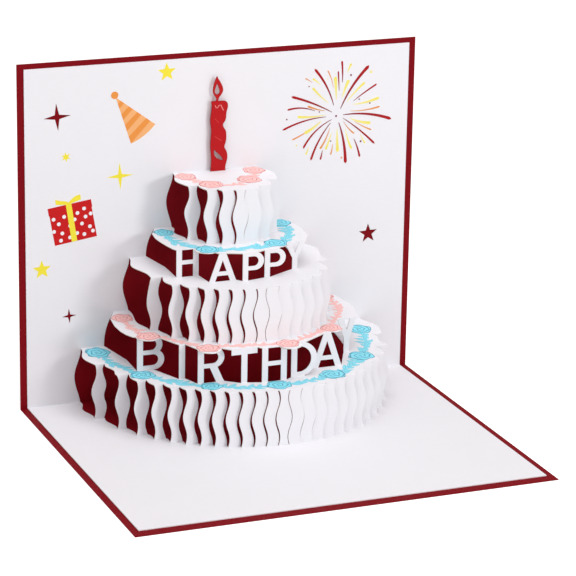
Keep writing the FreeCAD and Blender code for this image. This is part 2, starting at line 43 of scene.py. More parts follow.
# %% [markdown]
# Every print lies on a flat face: a level of the cake, the standing panel or the candle. So each shape
# is first drawn flat, in millimetres, as (right, up, off): right and up along the paper and off away
# from it. The three functions below carry such points to their face. The fold between the two panels
# is the common reference, and up on a level means towards that fold.

# %% Faces that carry the prints
FOLD_BACK = 74.65
FOLD_RISE = 0.70
LEVEL_HEIGHT = {1: 24.2, 2: 39.2, 4: 74.6, 5: 98.2}
CANDLE_FRONT = 2.15


def on_level(number):
    """Right stays X, up runs back along Y and off rises along Z from that level."""
    height = LEVEL_HEIGHT[number] + FOLD_RISE
    return lambda p: np.stack([p[:, 0], p[:, 1] + FOLD_BACK, p[:, 2] + height], axis=1) / 1000


def on_panel(p):
    """Right stays X, up rises along Z and off comes forward along -Y from the standing panel."""
    return np.stack([p[:, 0], FOLD_BACK - p[:, 2], p[:, 1] + FOLD_RISE], axis=1) / 1000


def on_candle(p):
    """As on the panel, from the front of the candle."""
    return np.stack([p[:, 0], FOLD_BACK - CANDLE_FRONT - p[:, 2], p[:, 1] + FOLD_RISE], axis=1) / 1000


print("fold at", FOLD_BACK, "mm back and", FOLD_RISE, "mm up")

# %% [markdown]
# Ink has almost no thickness. A print could be painted by one large material on the whole sheet, but a
# shape of its own stays crisp at any distance and can be moved by hand, so each print is a very
# thin closed shape. Three kinds are enough. A band follows a line, for stems, leaves and sparks. A round
# is drawn by angle and radius, for roses and dots. A plate fills any outline, for the stars, the hat and
# the gift box. Each keeps a UV map called print, which its ink can follow.

# %% Outline helpers
def sides_of(path, half):
    """The two sides of a band: at each point of the path the tangent is turned by a quarter, and the
    sides lie half a width that way and half a width the other way."""
    path = np.asarray(path, float)
    along = np.gradient(path, axis=0)
    along /= np.linalg.norm(along, axis=1, keepdims=True)
    side = np.stack([-along[:, 1], along[:, 0]], axis=1) * np.broadcast_to(half, len(path))[:, None]
    return path + side, path - side


def swell(angle, waves):
    """One plus a cosine for each (count, depth, shift) in waves."""
    return np.ones_like(angle) + sum(depth * np.cos(count * angle + shift) for count, depth, shift in waves)


print("a circle with five waves swells to", swell(np.zeros(1), [(5, 0.07, 0.0)])[0])

# %% Flat shapes
# Every print reaches this far into the paper, in millimetres, so that none floats.
INK_LOW = -0.02


class Prints:
    """Closed flat shapes for one face, gathered with their UV and the number of their ink."""

    def __init__(self):
        self.points = []
        self.faces = []
        self.uv = []
        self.ink = []
        self.count = 0

    def add(self, points, faces, uv, ink):
        """Points (n, 3), faces as lists of point numbers, and one UV pair for each face corner."""
        self.points.append(points)
        self.faces += [[corner + self.count for corner in face] for face in faces]
        self.uv.append(uv)
        self.ink += [ink] * len(faces)
        self.count += len(points)

    def band(self, path, half, high, ink):
        """A band along a path, half a width to either side of it."""
        left, right = sides_of(path, half)
        n = len(left)
        ring = np.zeros((n, 4, 3))
        ring[:, (0, 3), :2] = left[:, None]
        ring[:, (1, 2), :2] = right[:, None]
        ring[:, :2, 2] = INK_LOW
        ring[:, 2:, 2] = high
        i, k = np.meshgrid(np.arange(n - 1), np.arange(4), indexing="ij")
        after = (k + 1) % 4
        here, ahead = 4 * i, 4 * i + 4
        quads = np.stack([here + k, ahead + k, ahead + after, here + after], axis=-1).reshape(-1, 4)
        ends = np.array([[0, 1, 2, 3], [4 * n - 1, 4 * n - 2, 4 * n - 3, 4 * n - 4]])
        faces = np.concatenate([quads, ends])
        reach = np.linspace(0.0, 1.0, n)
        across = np.array([0.0, 1.0, 1.0, 0.0])
        corner_uv = np.stack([reach[faces // 4], across[faces % 4]], axis=-1).reshape(-1, 2)
        self.add(ring.reshape(-1, 3), faces.tolist(), corner_uv, ink)

    def round(self, centre, radius, high, ink, waves=(), around=40, rings=4, turn=0.0, tall=1.0):
        """A round shape. Its radius at each angle is the given one times the swell of its waves,
        and tall stretches it upwards. U is the angle and V the share of the radius."""
        angle = 2 * np.pi * np.arange(around) / around
        edge = swell(angle, waves)
        share = np.linspace(0.04, 1.0, rings + 1)
        reach = radius * share[:, None] * (1 + (edge - 1) * share[:, None] ** 2)
        right = centre[0] + reach * np.cos(angle + turn)
        up = centre[1] + tall * reach * np.sin(angle + turn)
        top = np.stack([right, up, np.full_like(reach, high)], axis=-1)
        base = top[-1] * [1, 1, 0] + [0, 0, INK_LOW]
        points = np.concatenate([top.reshape(-1, 3), base])
        j, i = np.meshgrid(np.arange(rings + 1), np.arange(around), indexing="ij")
        after = (i + 1) % around
        outer = (j + 1) * around
        inner = j * around
        quads = np.stack([inner + i, outer + i, outer + after, inner + after], axis=-1).reshape(-1, 4)
        share_up = np.append(share, 1.0)
        u = np.stack([i, i, i + 1, i + 1], axis=-1) / around
        v = np.stack([share_up[j], share_up[j + 1], share_up[j + 1], share_up[j]], axis=-1)
        uv = np.stack([u, v], axis=-1).reshape(-1, 2)
        ring = np.arange(around)
        lids = [ring.tolist(), ((rings + 1) * around + ring[::-1]).tolist()]
        lid_uv = np.stack([np.tile(ring / around, 2), np.repeat([0.0, 1.0], around)], axis=1)
        self.add(points, quads.tolist() + lids, np.concatenate([uv, lid_uv]), ink)

    def plate(self, outline, high, ink):
        """A plate inside an outline that runs anticlockwise. UV is the place in its own box."""
        outline = np.asarray(outline, float)
        n = len(outline)
        low = outline.min(axis=0)
        span = outline.max(axis=0) - low
        points = np.zeros((2 * n, 3))
        points[:, :2] = np.tile(outline, (2, 1))
        points[:n, 2] = high
        points[n:, 2] = INK_LOW
        ring = np.arange(n)
        after = (ring + 1) % n
        walls = np.stack([ring, n + ring, n + after, after], axis=1)
        corners = np.concatenate([ring, ring[::-1], walls.ravel() % n])
        faces = [ring.tolist(), (n + ring[::-1]).tolist()] + walls.tolist()
        self.add(points, faces, (outline[corners] - low) / span, ink)

    def make(self, name, place, inks):
        """One mesh object with all the shapes, carried to its face, riding with the card."""
        mesh = bpy.data.meshes.new(name)
        mesh.from_pydata(place(np.concatenate(self.points)).tolist(), [], self.faces)
        mesh.uv_layers.new(name="print").data.foreach_set("uv", np.concatenate(self.uv).ravel())
        for ink in inks:
            mesh.materials.append(ink)
        mesh.polygons.foreach_set("material_index", self.ink)
        mesh.update()
        piece = bpy.data.objects.new(name, mesh)
        bpy.context.scene.collection.objects.link(piece)
        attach(piece, "root")
        print(name, "has", len(mesh.vertices), "points and", len(mesh.polygons), "faces")
        return piece


print("shapes at hand: band, round and plate")

# %% [markdown]
# Paper is never one even colour. Short fibres scatter the light, the sheet is a little cloudy when held
# flat, and the tooth of the surface shows when light grazes it. A noise texture could be wired into each
# material again and again, but a node group does it once: it takes a colour and gives back the clouded
# colour, a roughness and a height for the bump.

# %% Helpers for node trees
def new_group(name, inputs, outputs):
    """An empty node group with named sockets."""
    tree = bpy.data.node_groups.new(name, "ShaderNodeTree")
    for label, kind, value in inputs:
        tree.interface.new_socket(name=label, in_out="INPUT", socket_type=kind).default_value = value
    for label, kind in outputs:
        tree.interface.new_socket(name=label, in_out="OUTPUT", socket_type=kind)
    return tree, tree.nodes.new("NodeGroupInput").outputs, tree.nodes.new("NodeGroupOutput").inputs


def node(tree, kind, settings=(), **values):
    """A node with its settings, and values or links for its inputs, given by name or number."""
    made = tree.nodes.new(kind)
    for key, value in settings:
        setattr(made, key, value)
    for key, value in values.items():
        socket = made.inputs[int(key[1:])] if key[0] == "n" and key[1:].isdigit() else made.inputs[key]
        if isinstance(value, bpy.types.NodeSocket):
            tree.links.new(value, socket)
        else:
            socket.default_value = value
    return made.outputs


def math_node(tree, operation, first, second=0.0, third=0.0):
    """One step of arithmetic."""
    return node(tree, "ShaderNodeMath", [("operation", operation)], n0=first, n1=second, n2=third)[0]


print("helpers for node trees ready")

# %% Group: paper surface
CLOUD_SCALE = 45.0
FIBRE_SCALE = (260.0, 2600.0, 1900.0)
TOOTH_SHARE = 0.6
MEAN_SHADE = 1.3
ROUGH_SWING = 0.3

paper, given, result = new_group(
    "paper_surface",
    [("Color", "NodeSocketColor", (0.8, 0.8, 0.8, 1.0)), ("Cloud", "NodeSocketFloat", 0.04),
     ("Tooth", "NodeSocketFloat", 1500.0), ("Roughness", "NodeSocketFloat", 0.6)],
    [("Color", "NodeSocketColor"), ("Roughness", "NodeSocketFloat"), ("Height", "NodeSocketFloat")])
where = node(paper, "ShaderNodeTexCoord")["Object"]
tooth = node(paper, "ShaderNodeTexNoise", Vector=where, Scale=given["Tooth"], Detail=3.0)["Fac"]
cloud = node(paper, "ShaderNodeTexNoise", Vector=where, Scale=CLOUD_SCALE, Detail=4.0)["Fac"]
drift = node(paper, "ShaderNodeVectorMath", [("operation", "MULTIPLY")], n0=where, n1=FIBRE_SCALE)[0]
fibre = node(paper, "ShaderNodeTexNoise", Vector=drift, Scale=1.0, Detail=2.0)["Fac"]
both = math_node(paper, "MULTIPLY_ADD", tooth, TOOTH_SHARE, math_node(paper, "ADD", cloud, fibre))
shade = math_node(paper, "MULTIPLY_ADD", math_node(paper, "SUBTRACT", both, MEAN_SHADE), given["Cloud"], 1.0)
clouded = node(paper, "ShaderNodeVectorMath", [("operation", "SCALE")], n0=given["Color"], Scale=shade)[0]
paper.links.new(clouded, result["Color"])
rough = math_node(paper, "MULTIPLY_ADD", math_node(paper, "SUBTRACT", tooth, 0.5), ROUGH_SWING,
                  given["Roughness"])
paper.links.new(rough, result["Roughness"])
paper.links.new(math_node(paper, "ADD", tooth, fibre), result["Height"])
print("paper_surface has", len(paper.nodes), "nodes")

# %% [markdown]
# A laser cuts these cards, and its heat leaves the cut edges of the white sheet and the candle darker
# than their faces. The core of the cover is a little paler than its faces instead. The faces of this
# card all look straight along Y or Z, so a direction test finds the edges: where neither of those
# parts of the normal is close to one, the surface is a cut. The second group mixes two colours so.

# %% Group: cut edge
FACE_LEVEL = 0.97

cut, given, result = new_group(
    "cut_edge",
    [("Face", "NodeSocketColor", (0.8, 0.8, 0.8, 1.0)), ("Edge", "NodeSocketColor", (0.4, 0.3, 0.2, 1.0))],
    [("Color", "NodeSocketColor")])
normal = node(cut, "ShaderNodeNewGeometry")["Normal"]
parts = node(cut, "ShaderNodeSeparateXYZ", Vector=normal)
along_y, along_z = (math_node(cut, "ABSOLUTE", parts[axis]) for axis in "YZ")
is_face = math_node(cut, "GREATER_THAN", math_node(cut, "MAXIMUM", along_y, along_z), FACE_LEVEL)
mixed = node(cut, "ShaderNodeMix", [("data_type", "RGBA")], n0=is_face, n6=given["Edge"], n7=given["Face"])[2]
cut.links.new(mixed, result["Color"])
print("cut_edge has", len(cut.nodes), "nodes")

# %% Helpers for materials
BUMP_DEPTH = 0.00004


def srgb(red, green, blue):
    """A screen colour of 0 to 255 as linear light, with alpha."""
    c = np.array([red, green, blue]) / 255
    linear = np.where(c <= 0.04045, c / 12.92, ((c + 0.055) / 1.055) ** 2.4)
    return (*linear.tolist(), 1.0)


def group_node(tree, group, **values):
    """A group placed in a material with its own values."""
    placed = tree.nodes.new("ShaderNodeGroup")
    placed.node_tree = group
    for key, value in values.items():
        if isinstance(value, bpy.types.NodeSocket):
            tree.links.new(value, placed.inputs[key])
        else:
            placed.inputs[key].default_value = value
    return placed.outputs


def blank(name):
    """A material with its tree and its shader."""
    material = bpy.data.materials.new(name)
    material.use_nodes = True
    tree = material.node_tree
    return material, tree, tree.nodes["Principled BSDF"]


def paper_material(name, color, edge=None, cloud=0.04, tooth=1500.0, roughness=0.6, bump=0.25, specular=0.35):
    """Paper or card: the colour, which may be a socket, goes through the paper group."""
    material, tree, shader = blank(name)
    if callable(color):
        color = color(tree)
    if edge is not None:
        color = group_node(tree, cut, Face=color, Edge=edge)["Color"]
    surface = group_node(tree, paper, Color=color, Cloud=cloud, Tooth=tooth, Roughness=roughness)
    tree.links.new(surface["Color"], shader.inputs["Base Color"])
    tree.links.new(surface["Roughness"], shader.inputs["Roughness"])
    raised = node(tree, "ShaderNodeBump", Height=surface["Height"], Strength=bump, Distance=BUMP_DEPTH)
    tree.links.new(raised["Normal"], shader.inputs["Normal"])
    shader.inputs["Specular IOR Level"].default_value = specular
    return material


print("a middle grey of 128 is", round(srgb(128, 128, 128)[0], 3), "as linear light")

# %% Paper of the three pieces
WHITE = (0.836, 0.838, 0.882, 1.0)
white_paper = paper_material("white_paper", WHITE, edge=(0.70, 0.66, 0.62, 1.0), cloud=0.03)
red_card = paper_material("dark_red_card", (0.208, 0.0026, 0.0075, 1.0), edge=(0.27, 0.012, 0.022, 1.0),
                          cloud=0.16, tooth=1100.0, roughness=0.6, bump=0.4, specular=0.07)
BURN_WIDTH = 0.00028
CANDLE_RED = (0.47, 0.0062, 0.0095, 1.0)
CANDLE_BURNT = (0.09, 0.006, 0.008, 1.0)


def burnt_rim(tree):
    """Within the burn width of the outline a bevelled normal turns away from the true one. How far
    it turns gives the burn."""
    turned = node(tree, "ShaderNodeBevel", [("samples", 6)], Radius=BURN_WIDTH)["Normal"]
    true = node(tree, "ShaderNodeNewGeometry")["Normal"]
    same = node(tree, "ShaderNodeVectorMath", [("operation", "DOT_PRODUCT")], n0=turned, n1=true)["Value"]
    burn = node(tree, "ShaderNodeMapRange", Value=same, **{"From Min": 0.995, "From Max": 0.88})[0]
    return node(tree, "ShaderNodeMix", [("data_type", "RGBA")], n0=burn, n6=CANDLE_RED, n7=CANDLE_BURNT)[2]


candle_paper = paper_material("red_candle_paper", burnt_rim, edge=CANDLE_BURNT, cloud=0.12, roughness=0.6,
                              specular=0.15)

for name, material in (("popup_sheet", white_paper), ("cover", red_card), ("candle", candle_paper)):
    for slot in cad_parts[name].material_slots:
        slot.material = material
print("paper on", sorted(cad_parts))

# %% [markdown]
# The inks lie on the same paper, so they pass through the same group. Leaves and roses also have fine
# darker lines. Those could be cut as more shapes, but here the ink draws them from the print map: a
# leaf darkens at its two sides and along its middle, and a rose carries one spiral line that sways
# with the angle, which the eye reads as folded petals.

# %% Lines on leaves and roses
RIB_HALF = 0.07
LEAF_RIM = 0.40
LEAF_LINE_STRENGTH = 0.34
PETAL_LINE_HALF = 0.11
ROSE_RIM = 0.94
PETAL_LINE_STRENGTH = 0.85


def print_map(tree):
    """The U and V of the print map, as the X and Y of one vector."""
    where = node(tree, "ShaderNodeUVMap", [("uv_map", "print")])[0]
    return node(tree, "ShaderNodeSeparateXYZ", Vector=where)


def leaf_lines(light, dark):
    """Across a leaf V runs from 0 to 1. The distance from the middle gives the rib and the rims."""
    def draw(tree):
        off = math_node(tree, "ABSOLUTE", math_node(tree, "SUBTRACT", print_map(tree)["Y"], 0.5))
        rib = math_node(tree, "LESS_THAN", off, RIB_HALF)
        rim = math_node(tree, "GREATER_THAN", off, LEAF_RIM)
        line = math_node(tree, "MULTIPLY", math_node(tree, "MAXIMUM", rib, rim), LEAF_LINE_STRENGTH)
        return node(tree, "ShaderNodeMix", [("data_type", "RGBA")], n0=line, n6=light, n7=dark)[2]
    return draw


def petal_lines(light, dark, turns=2.7, sway=0.13):
    """The phase is the radius share times the turns, less the angle share, plus a small five fold
    sway. Where the fraction of the phase is near a half there is a line."""
    def draw(tree):
        parts = print_map(tree)
        lag = math_node(tree, "MULTIPLY", parts["Y"], 7.0)
        five = math_node(tree, "MULTIPLY_ADD", parts["X"], 10 * math.pi, lag)
        wobble = math_node(tree, "MULTIPLY", math_node(tree, "SINE", five), sway)
        run = math_node(tree, "MULTIPLY_ADD", parts["Y"], turns, wobble)
        phase = math_node(tree, "SUBTRACT", run, parts["X"])
        off = math_node(tree, "ABSOLUTE", math_node(tree, "SUBTRACT", math_node(tree, "FRACT", phase), 0.5))
        spiral = math_node(tree, "LESS_THAN", off, PETAL_LINE_HALF)
        rim = math_node(tree, "GREATER_THAN", parts["Y"], ROSE_RIM)
        line = math_node(tree, "MULTIPLY", math_node(tree, "MAXIMUM", spiral, rim), PETAL_LINE_STRENGTH)
        return node(tree, "ShaderNodeMix", [("data_type", "RGBA")], n0=line, n6=light, n7=dark)[2]
    return draw


print("a rose line is", 2 * PETAL_LINE_HALF, "of a turn wide")


# %% Garland inks
def ink(name, color):
    """Ink on the white paper."""
    return paper_material(name, color, cloud=0.07, roughness=0.58, bump=0.2, specular=0.15)


BLUE = srgb(140, 227, 245)
BLUE_LINE = srgb(44, 134, 162)
PINK = srgb(251, 203, 200)
PINK_LINE = srgb(206, 116, 118)
blue_leaf = ink("blue_leaf_ink", leaf_lines(BLUE, BLUE_LINE))
blue_rose = ink("blue_rose_ink", petal_lines(BLUE, BLUE_LINE))
pink_leaf = ink("pink_leaf_ink", leaf_lines(PINK, PINK_LINE))
pink_rose = ink("pink_rose_ink", petal_lines(PINK, PINK_LINE))
print("garland inks ready")

# %% [markdown]
# Each garland is a chain of roses on a leafy stem that keeps to the front of its level. A smooth line is
# drawn through a few chosen points with the Catmull-Rom formula, in which each span leans on its two
# neighbours. Leaves then leave the stem in turn to either side, each one a short band that swells
# and comes to a point. Nothing may hang over an edge of its level, so each leaf and rose is first
# compared with the paper under it, and drawn a little smaller until it fits.

# %% Smooth lines
def through(points, steps=14):
    """Catmull-Rom line through points: in each span a cubic whose slopes at its two ends are half
    the difference of the neighbouring points."""
    p = np.asarray(points, float)
    p = np.concatenate([[2 * p[0] - p[1]], p, [2 * p[-1] - p[-2]]])
    t = np.linspace(0, 1, steps, endpoint=False)[None, :, None]
    a, b, c, d = p[:-3, None], p[1:-2, None], p[2:-1, None], p[3:, None]
    line = 0.5 * (2 * b + (c - a) * t + (2 * a - 5 * b + 4 * c - d) * t ** 2
                  + (3 * b - a - 3 * c + d) * t ** 3)
    return np.concatenate([line.reshape(-1, 2), p[-2:-1]])


def even(line, pitch):
    """The same line with its points one pitch apart."""
    run = np.append(0, np.cumsum(np.linalg.norm(np.diff(line, axis=0), axis=1)))
    marks = np.linspace(0, run[-1], int(run[-1] / pitch) + 1)
    return np.stack([np.interp(marks, run, line[:, k]) for k in (0, 1)], axis=1)


print("a bend through three points has", len(through([(0, 0), (1, 1), (2, 0)])), "points")


# %% Paper under a print
def paper_at(height):
    """The triangles of the white sheet that lie flat at this height, in millimetres from the fold."""
    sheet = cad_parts["popup_sheet"]
    sheet.data.calc_loop_triangles()
    corners = np.empty(3 * len(sheet.data.loop_triangles), np.int32)
    sheet.data.loop_triangles.foreach_get("vertices", corners)
    points = np.empty(3 * len(sheet.data.vertices), np.float32)
    sheet.data.vertices.foreach_get("co", points)
    world = np.array(sheet.matrix_world)
    points = points.reshape(-1, 3) @ world[:3, :3].T + world[:3, 3]
    triangles = 1000 * points[corners].reshape(-1, 3, 3) - (0, FOLD_BACK, FOLD_RISE)
    return triangles[(np.abs(triangles[:, :, 2] - height) < 0.02).all(axis=1)][:, :, :2]


def covered(points, triangles):
    """Whether every point lies in a triangle. The cross product of a side and the way to the point
    says on which hand the point lies, and inside a triangle its three sides agree."""
    side = np.roll(triangles, -1, axis=1) - triangles
    way = points[:, None, None] - triangles
    hand = side[..., 0] * way[..., 1] - side[..., 1] * way[..., 0]
    inside = (hand > -1e-3).all(axis=-1) | (hand < 1e-3).all(axis=-1)
    return bool(inside.any(axis=-1).all())


for number, height in LEVEL_HEIGHT.items():
    print("level", number, "has", len(paper_at(height)), "flat triangles")


# %% Leaves and roses
def leaf_shape(root, heading, length):
    """A leaf starts at the root and bends a little, and its half width is a sine that is fuller
    near the root."""
    t = np.linspace(0, 1, 8)
    bend = heading + 0.4 * (t - 0.3)
    path = root + length * t[:, None] * np.stack([np.cos(bend), np.sin(bend)], axis=1)
    return path, length * 0.24 * np.sin(np.pi * t ** 0.75) + 0.04


def rose_rim(centre, radius, tall, waves, turn):
    """The outline of a rose."""
    angle = np.linspace(0, 2 * np.pi, 60)
    reach = radius * swell(angle, waves)
    return centre + np.stack([reach * np.cos(angle + turn), tall * reach * np.sin(angle + turn)], axis=1)


print("a leaf of 4 mm is", round(2 * leaf_shape((0.0, 0.0), 0.0, 4.0)[1].max(), 2), "mm wide")

# %% One garland
# All in millimetres. The heights are above the paper.
STEM_HALF = 0.75
STEM_HIGH = 0.03
LEAF_PITCH = 2.0
LEAF_HIGH = 0.05
LEAF_STEP = 0.004
SHORTEST_LEAF = 0.9
ROSE_HIGH = 0.08
SMALLEST_ROSE = 3.0


def garland(name, number, points, roses, inks, leaf_length=4.3, seed=1):
    """A stem through the points, leaves along it and the roses on top. Points are (x, depth), where
    depth is the way forward from the fold, and roses are (x, depth, radius, stretch in depth)."""
    rng = np.random.default_rng(seed)
    prints = Prints()
    paper_here = paper_at(LEVEL_HEIGHT[number])
    line = through([(x, -depth) for x, depth in points])
    prints.band(even(line, 1.0), STEM_HALF, STEM_HIGH, 0)
    marks = even(line, LEAF_PITCH)
    headings = np.arctan2(*np.gradient(marks, axis=0).T[::-1])
    sides = np.where(np.arange(len(marks)) % 2, 1.0, -1.0)
    turns = sides * rng.uniform(0.2, 0.95, len(marks))
    lengths = leaf_length * rng.uniform(0.8, 1.45, len(marks))
    for step, (root, heading, length) in enumerate(zip(marks, headings + turns, lengths)):
        rim = np.concatenate(sides_of(*leaf_shape(root, heading, length)))
        while length > SHORTEST_LEAF and not covered(rim, paper_here):
            length *= 0.9
            rim = np.concatenate(sides_of(*leaf_shape(root, heading, length)))
        prints.band(*leaf_shape(root, heading, length), LEAF_HIGH + LEAF_STEP * (step % 3), 0)
    for x, depth, radius, tall in roses:
        waves = ((5, 0.07, rng.uniform(0, 6)), (8, 0.035, rng.uniform(0, 6)))
        turn = rng.uniform(0, 6)
        centre = np.array([x, -depth])
        while radius > SMALLEST_ROSE and not covered(rose_rim(centre, radius, tall, waves, turn), paper_here):
            radius *= 0.98
        prints.round(centre, radius, ROSE_HIGH, 1, waves=waves, turn=turn, tall=tall)
    return prints.make(name, on_level(number), inks)


# %% Four garlands
garland("garland_one", 1,
        [(-57.6, 7.0), (-56.6, 22.5), (-49.8, 39.4), (-40.5, 53.5), (-27.9, 63.2), (-14.3, 69.6),
         (-0.3, 71.6), (13.2, 70.6), (25.9, 66.6), (37.6, 58.8), (46.8, 48.2), (55.8, 32.5), (60.7, 14.5)],
        [(-58.0, 7.6, 5.1, 1.3), (-49.5, 41.4, 5.2, 1.0), (-27.3, 64.0, 4.56, 1.0), (-0.3, 71.5, 5.1, 1.0),
         (25.9, 66.4, 5.4, 1.0), (46.8, 48.0, 5.5, 1.0), (60.5, 14.5, 5.2, 1.1)],
        [blue_leaf, blue_rose], seed=3)
garland("garland_two", 2,
        [(-47.6, 8.9), (-48.4, 23.0), (-45.7, 36.6), (-40.4, 39.6), (-35.6, 46.8), (-31.8, 52.8),
         (-26.9, 60.0), (-20.5, 58.4), (-12.0, 61.0), (-2.0, 62.4), (6.6, 64.8), (13.0, 61.2), (19.5, 57.0),
         (25.5, 53.0), (31.0, 50.2), (36.6, 41.5), (43.0, 32.0), (45.8, 20.0), (45.4, 8.0)],
        [(-47.6, 9.7, 4.5, 1.2), (-45.3, 36.2, 4.8, 1.1), (-27.0, 59.3, 4.8, 1.0), (6.3, 64.1, 4.8, 1.0),
         (31.3, 50.9, 4.51, 1.0), (45.1, 8.4, 4.5, 1.2)],
        [pink_leaf, pink_rose], leaf_length=3.6, seed=5)
garland("garland_four", 4,
        [(-28.5, 5.6), (-29.2, 16.5), (-26.4, 27.0), (-20.0, 36.2), (-12.5, 38.8), (-3.0, 40.4), (5.0, 39.8),
         (11.2, 37.0), (18.4, 31.0), (23.6, 21.0), (24.6, 8.2)],
        [(-28.2, 7.4, 4.14, 1.2), (-19.3, 36.9, 4.7, 1.1), (11.2, 36.9, 4.8, 1.1), (24.4, 9.0, 4.4, 1.2)],
        [blue_leaf, blue_rose], leaf_length=4.4, seed=7)
garland("garland_five", 5,
        [(-17.9, 6.6), (-17.0, 15.0), (-12.5, 22.0), (-3.5, 25.6), (5.4, 20.0), (10.8, 12.8), (12.8, 5.4)],
        [(-18.4, 7.0, 4.3, 1.25), (-12.5, 22.0, 4.9, 1.15), (5.6, 19.3, 5.0, 1.15), (12.9, 6.0, 4.6, 1.2)],
        [pink_leaf, pink_rose], leaf_length=3.4, seed=9)

# %% [markdown]
# The standing panel carries small party prints: stars, a paper hat, a gift box and a firework. They are
# plain flat colours, so an outline or a band each is enough, and where one colour lies on another it
# is printed a hair higher.

# %% Star, hat and box inks
yellow = ink("yellow_ink", srgb(243, 228, 66))
orange_light = ink("light_orange_ink", srgb(243, 179, 119))
orange = ink("orange_ink", srgb(235, 150, 71))
box_red = ink("box_red_ink", srgb(198, 24, 26))
dot_white = ink("white_dot_ink", srgb(240, 239, 244))
print("inks for the small prints ready")

# %% Stars
# The notches between the tips lie at these shares of the reach.
FULL_STAR = 0.42
SLIM_STAR = 0.2
STAR_HIGH = 0.04


def star(prints, centre, points, reach, notch, turn):
    """A star: its outline swings between the full reach at each tip and the notch share between,
    starting near the top."""
    k = np.arange(2 * points)
    radius = reach * np.where(k % 2, notch, 1.0)
    angle = np.pi / 2 + np.radians(turn) + np.pi * k / points
    outline = np.stack([centre[0] + radius * np.cos(angle), centre[1] + radius * np.sin(angle)], axis=1)
    prints.plate(outline, STAR_HIGH, 0)


stars = Prints()
star(stars, (-24.5, 142.4), 5, 4.2, FULL_STAR, turn=2)
star(stars, (-80.0, 61.0), 5, 4.2, FULL_STAR, turn=2)
star(stars, (-69.1, 109.2), 6, 2.2, FULL_STAR, turn=8)
star(stars, (-45.3, 99.0), 4, 5.9, SLIM_STAR, turn=2)
stars.make("printed_stars", on_panel, [yellow])

# %% Party hat
HAT_HIGH = 0.03
STRIPE_HIGH = 0.05
POMPOM_HIGH = 0.06
HEM_BULGE = 0.16
APEX = np.array([-47.2, 133.2])
LEFT_CORNER = np.array([-40.4, 112.7])
RIGHT_CORNER = np.array([-29.6, 120.3])
hat = Prints()


def across_hat(left, right):
    """A slanting stripe between shares (from, to) of the left side and of the right side."""
    points = [APEX + share * (LEFT_CORNER - APEX) for share in left]
    points += [APEX + share * (RIGHT_CORNER - APEX) for share in reversed(right)]
    hat.plate(points, STRIPE_HIGH, 1)


t = np.linspace(0, 1, 12)[:, None]
hem = APEX + (LEFT_CORNER - APEX + t * (RIGHT_CORNER - LEFT_CORNER)) * (1 + HEM_BULGE * t * (1 - t))
hat.plate(np.concatenate([[APEX], hem]), HAT_HIGH, 0)
across_hat((0.15, 0.25), (0.12, 0.21))
across_hat((0.37, 0.49), (0.33, 0.43))
across_hat((0.60, 0.73), (0.545, 0.645))
across_hat((0.85, 0.995), (0.77, 0.875))
hat.round((-47.6, 134.1), 1.6, POMPOM_HIGH, 1, around=28, rings=1)
hat.make("printed_hat", on_panel, [orange_light, orange])

# %% Gift box
BOX_HIGH = 0.03
LID_HIGH = 0.035
DOT_HIGH = 0.05
RIBBON_HIGH = 0.07
BOW_HIGH = 0.08
DOT_RADIUS = 0.82
LID_FOOT = 0.8
CORNER = np.array([-74.2, 71.0])
ALONG = np.array([18.6, 2.6])
RISE = np.array([-2.9, 16.4])
gift = Prints()


def in_box(u, v):
    """A place in the box from its share along the foot and its share of the height."""
    return CORNER + np.multiply.outer(u, ALONG) + np.multiply.outer(v, RISE)


gift.plate(in_box([0, 1, 1, 0], [0, 0, 1, 1]), BOX_HIGH, 0)
for left, right in ((-0.012, 0.45), (0.6, 1.015)):
    gift.plate(in_box([left, right, right, left], [LID_FOOT, LID_FOOT, 1.0, 1.0]), LID_HIGH, 0)
DOTS = [(0.08, 0.69), (0.18, 0.54), (0.33, 0.70), (0.04, 0.37), (0.22, 0.28), (0.43, 0.43), (0.16, 0.10),
        (0.65, 0.72), (0.56, 0.57), (0.82, 0.80), (0.95, 0.63), (0.82, 0.58), (0.71, 0.42), (0.88, 0.30),
        (0.56, 0.20), (0.72, 0.13), (0.93, 0.17), (0.38, 0.13)]
for u, v in DOTS:
    gift.round(in_box(u, v), DOT_RADIUS, DOT_HIGH, 1, around=20, rings=1)
gift.plate(in_box([0.40, 0.53, 0.55, 0.42], [0.0, 0.0, 1.04, 1.06]), RIBBON_HIGH, 2)
bow_left = in_box([0.50, 0.44, 0.32, 0.20, 0.19, 0.30, 0.44], [1.04, 1.09, 1.13, 1.19, 1.06, 1.03, 1.00])
bow_right = in_box([0.48, 0.54, 0.68, 0.79, 0.79, 0.66, 0.54], [1.03, 1.01, 1.03, 1.06, 1.19, 1.17, 1.09])
gift.plate(bow_left, BOW_HIGH, 2)
gift.plate(bow_right, BOW_HIGH, 2)
gift.make("printed_gift", on_panel, [box_red, dot_white, yellow])

# %% [markdown]
# The firework is a ring of curved sparks. Each begins as a hair line near the middle and swells
# towards its far end, where it is rounded off, so each is a band along a bent line. Its ink fades a
# little where the spark is thin. The sparks are listed as (start x, start z, end x, end z, bow, width)
# in millimetres from the middle, where the bow says how far the line bends out to its left.

# %% Spark inks
def spark_ink(name, color, pale):
    """Along a spark U runs from 0 at the middle to 1 at the far end."""
    def draw(tree):
        share = math_node(tree, "POWER", print_map(tree)["X"], 0.5)
        return node(tree, "ShaderNodeMix", [("data_type", "RGBA")], n0=share, n6=pale, n7=color)[2]
    return ink(name, draw)


spark_red = spark_ink("red_spark_ink", srgb(172, 22, 28), srgb(112, 36, 52))
spark_yellow = spark_ink("yellow_spark_ink", srgb(240, 228, 106), srgb(242, 234, 180))
spark_orange = spark_ink("orange_spark_ink", srgb(226, 152, 84), srgb(214, 176, 146))
dot_dark = ink("dark_dot_ink", srgb(120, 30, 50))
print("spark inks ready")

